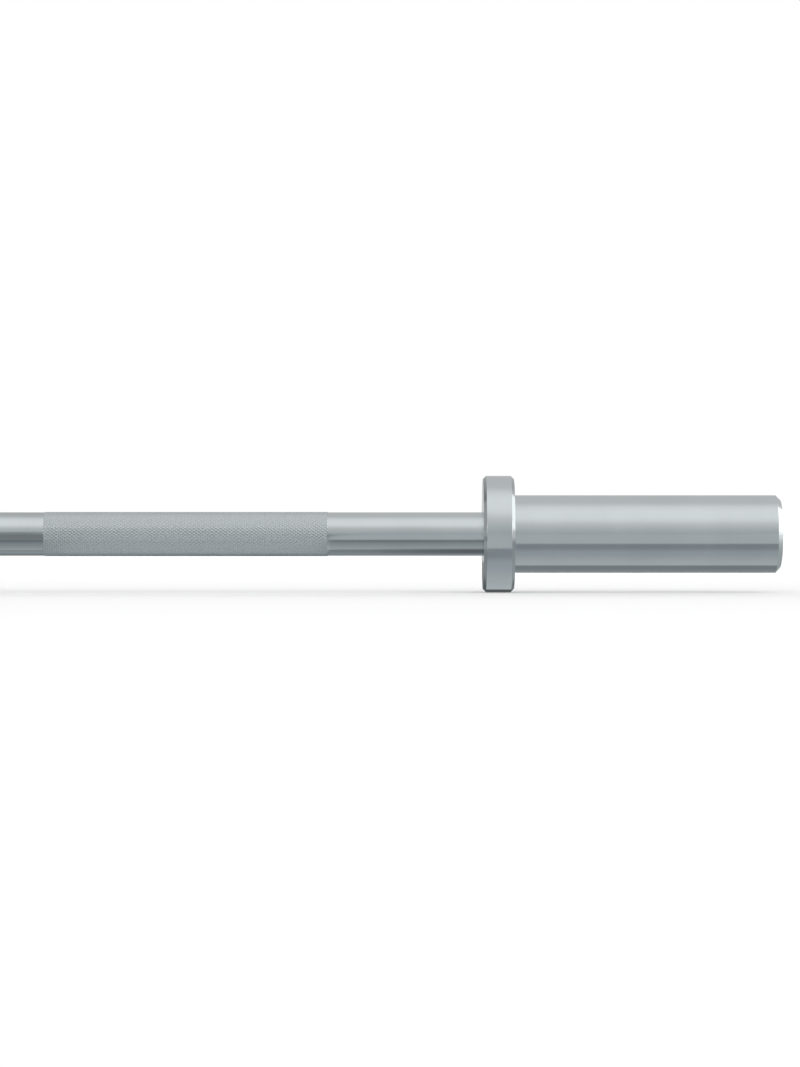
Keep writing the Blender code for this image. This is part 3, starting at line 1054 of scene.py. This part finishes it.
def right_wall():
    """Brighter than white, but for its foot, which is greyer at the front."""
    front_foot_level = 0.85
    back_foot_level = 1.5
    material, tree, output = emitter("right_wall")
    place = own_place(tree)
    foot = fade(tree, place[1], 0.12, 0.22, before=front_foot_level, after=back_foot_level)
    strength = fade(tree, place[2], 0.19, 0.32, before=foot, after=RIGHT_WALL_LEVEL)
    shine(tree, output, opaque(NEUTRAL), strength)
    return material


def dark_flag():
    """Dark in its middle, and clearing towards its two sides and its top."""
    dark_level = 0.30
    material, tree, output = emitter("dark_flag")
    place = own_place(tree)
    sides = maths(tree, "MULTIPLY", fade(tree, place[0], -0.45, -0.36),
                  fade(tree, place[0], -0.11, 0.01, before=1.0, after=0.0))
    to_top = fade(tree, place[2], 0.30, FLAG_TOP, before=1.0, after=0.0)
    cover = maths(tree, "MULTIPLY", sides, to_top)
    clear = add(tree, "BsdfTransparent", {}).outputs[0]
    glow = add(tree, "Emission", {"Color": opaque(COLD, dark_level)}).outputs[0]
    mixed = add(tree, "MixShader", {0: cover, 1: clear, 2: glow}).outputs[0]
    tree.links.new(mixed, output.inputs["Surface"])
    return material


def hang_tent():
    """Half a round tunnel along the bar, from the front foot over the top to the back foot."""
    points = []
    faces = []
    for i in range(TENT_STEPS + 1):
        angle = math.pi * i / TENT_STEPS
        y, z = -TENT_RADIUS * math.cos(angle), TENT_RADIUS * math.sin(angle)
        points += [(-TENT_HALF_LENGTH, y, z), (TENT_HALF_LENGTH, y, z)]
        if i:
            faces.append((2 * i - 2, 2 * i - 1, 2 * i + 1, 2 * i))
    tent = stage_sheet("light_tent", points, tent_cloth(), faces)
    tent.location.z = floor_height
    tent.visible_camera = False


def card_end(x):
    """Where the end that a card has below the bar comes to at the tent's foot.

    It leans as the camera's sight lines do, and so it shows as a straight end in the metal. Only
    the ends towards the bar's middle and at the tent's ends stay square.
    """
    leaning = knurl_start < abs(x) < TENT_HALF_LENGTH
    lean = (abs(x) - CAMERA_PLACE[0]) / abs(CAMERA_PLACE[1]) if leaning else 0.0
    return math.copysign(abs(x) + TENT_RADIUS * lean, x)


def lay_card(name, low_x, high_x, material):
    """Lays a card on the floor from the tent's front foot, under the bar, to its back foot."""
    far_low, far_high = card_end(low_x), card_end(high_x)
    plan = [(low_x, 0), (high_x, 0), (far_low, -TENT_RADIUS), (far_high, -TENT_RADIUS),
            (far_high, TENT_RADIUS), (far_low, TENT_RADIUS)]
    corners = [(x, y, floor_height + CARD_LIFT) for x, y in plan]
    mirrored_only(stage_sheet(name, corners, material, ((2, 3, 1, 0), (0, 1, 4, 5))))


def end_wall(name, x, material):
    corners = [(-TENT_RADIUS, 0), (TENT_RADIUS, 0), (TENT_RADIUS, TENT_RADIUS),
               (-TENT_RADIUS, TENT_RADIUS)]
    wall = stage_sheet(name, [(x, y, z) for y, z in corners], material)
    wall.location.z = floor_height
    mirrored_only(wall)


def upright_sheet(name, x_span, y, z_span, material):
    """A sheet that stands upright and runs along the bar."""
    low_x, high_x = x_span
    low_z, high_z = z_span
    corners = [(low_x, y, low_z), (high_x, y, low_z), (high_x, y, high_z), (low_x, y, high_z)]
    return stage_sheet(name, corners, material)


def low_light(name, y, z_span, level):
    """A long strip just inside the tent's foot. It softens the bar's shadow and no metal shows it."""
    x_span = (-TENT_HALF_LENGTH, TENT_HALF_LENGTH)
    light = upright_sheet(name, x_span, y, z_span, plain_glow(name, level))
    light.visible_camera = False
    light.visible_glossy = False


floor_corners = [(-1, -1), (1, -1), (1, 1), (-1, 1)]
stage_sheet("floor", [
    (x * FLOOR_REACH, y * FLOOR_REACH, floor_height) for x, y in floor_corners
], white_floor())
hang_tent()

COLLAR_CARD = floor_card("collar_card", shade_edge=0.088, gain=1.07, under=0.12, strip_edge=0.0094)
SLEEVE_CARD = floor_card("sleeve_card", shade_edge=0.080, gain=1.0, under=0.27)
END_CARD = end_card()
SHAFT_CARD = shaft_card()
cards = [("middle_card", -knurl_start, knurl_start, SHAFT_CARD)]
for name, near_x, far_x, material in (
    ("grip_card", knurl_start, knurl_end, grip_card()),
    ("shaft_card", knurl_end, collar_low.x, SHAFT_CARD),
    ("collar_card", collar_low.x, collar_high.x, COLLAR_CARD),
    ("sleeve_card", collar_high.x, sleeve_end, SLEEVE_CARD),
    ("end_card", sleeve_end, TENT_HALF_LENGTH, END_CARD),
):
    cards.append((f"right_{name}", near_x, far_x, material))
    cards.append((f"left_{name}", -far_x, -near_x, material))
for card in cards:
    lay_card(*card)

end_wall("right_end_wall", TENT_HALF_LENGTH + WALL_GAP, right_wall())
end_wall("left_end_wall", -TENT_HALF_LENGTH - WALL_GAP, plain_glow("left_wall", LEFT_WALL_LEVEL))
low_light("front_strip", -STRIP_DISTANCE, (0.45, 1.40), FRONT_STRIP_LEVEL)
low_light("back_strip", STRIP_DISTANCE, (0.28, 1.20), BACK_STRIP_LEVEL)
for name, x_span in (("left_edge_light", (-2.9, -1.6)), ("right_edge_light", (2.0, 3.1))):
    glow = plain_glow(name, EDGE_LIGHT_LEVEL)
    z_span = (floor_height, EDGE_LIGHT_TOP)
    mirrored_only(upright_sheet(name, x_span, -STRIP_DISTANCE, z_span, glow))
mirrored_only(upright_sheet(
    "front_flag", FLAG_SPAN, -FLAG_DISTANCE, (floor_height, FLAG_TOP), dark_flag()
))

world = bpy.data.worlds.new("white_room")
bpy.context.scene.world = world
world.use_nodes = True
room = world.node_tree.nodes["Background"]
room.inputs["Color"].default_value = opaque(NEUTRAL)
lift = maths(world.node_tree, "MULTIPLY", seen_rays(world.node_tree), 1.0 - ROOM_LEVEL)
room_strength = maths(world.node_tree, "ADD", lift, ROOM_LEVEL)
world.node_tree.links.new(room_strength, room.inputs["Strength"])

# Camera: level with the bar's axis and square to it, a little inside the right collar, with a
# long lens, so that the picture's left edge cuts the bar off.
CAMERA_LENS = 123.0
CAMERA_SENSOR = 36.0

camera_data = bpy.data.cameras.new("camera")
camera_data.lens = CAMERA_LENS
camera_data.sensor_width = CAMERA_SENSOR
camera_data.clip_start = 0.01
camera_data.clip_end = 200.0
camera = bpy.data.objects.new("camera", camera_data)
camera.location = CAMERA_PLACE
camera.rotation_euler = (math.pi / 2, 0, 0)
bpy.context.collection.objects.link(camera)
bpy.context.scene.camera = camera
bpy.context.scene.view_settings.view_transform = "Standard"
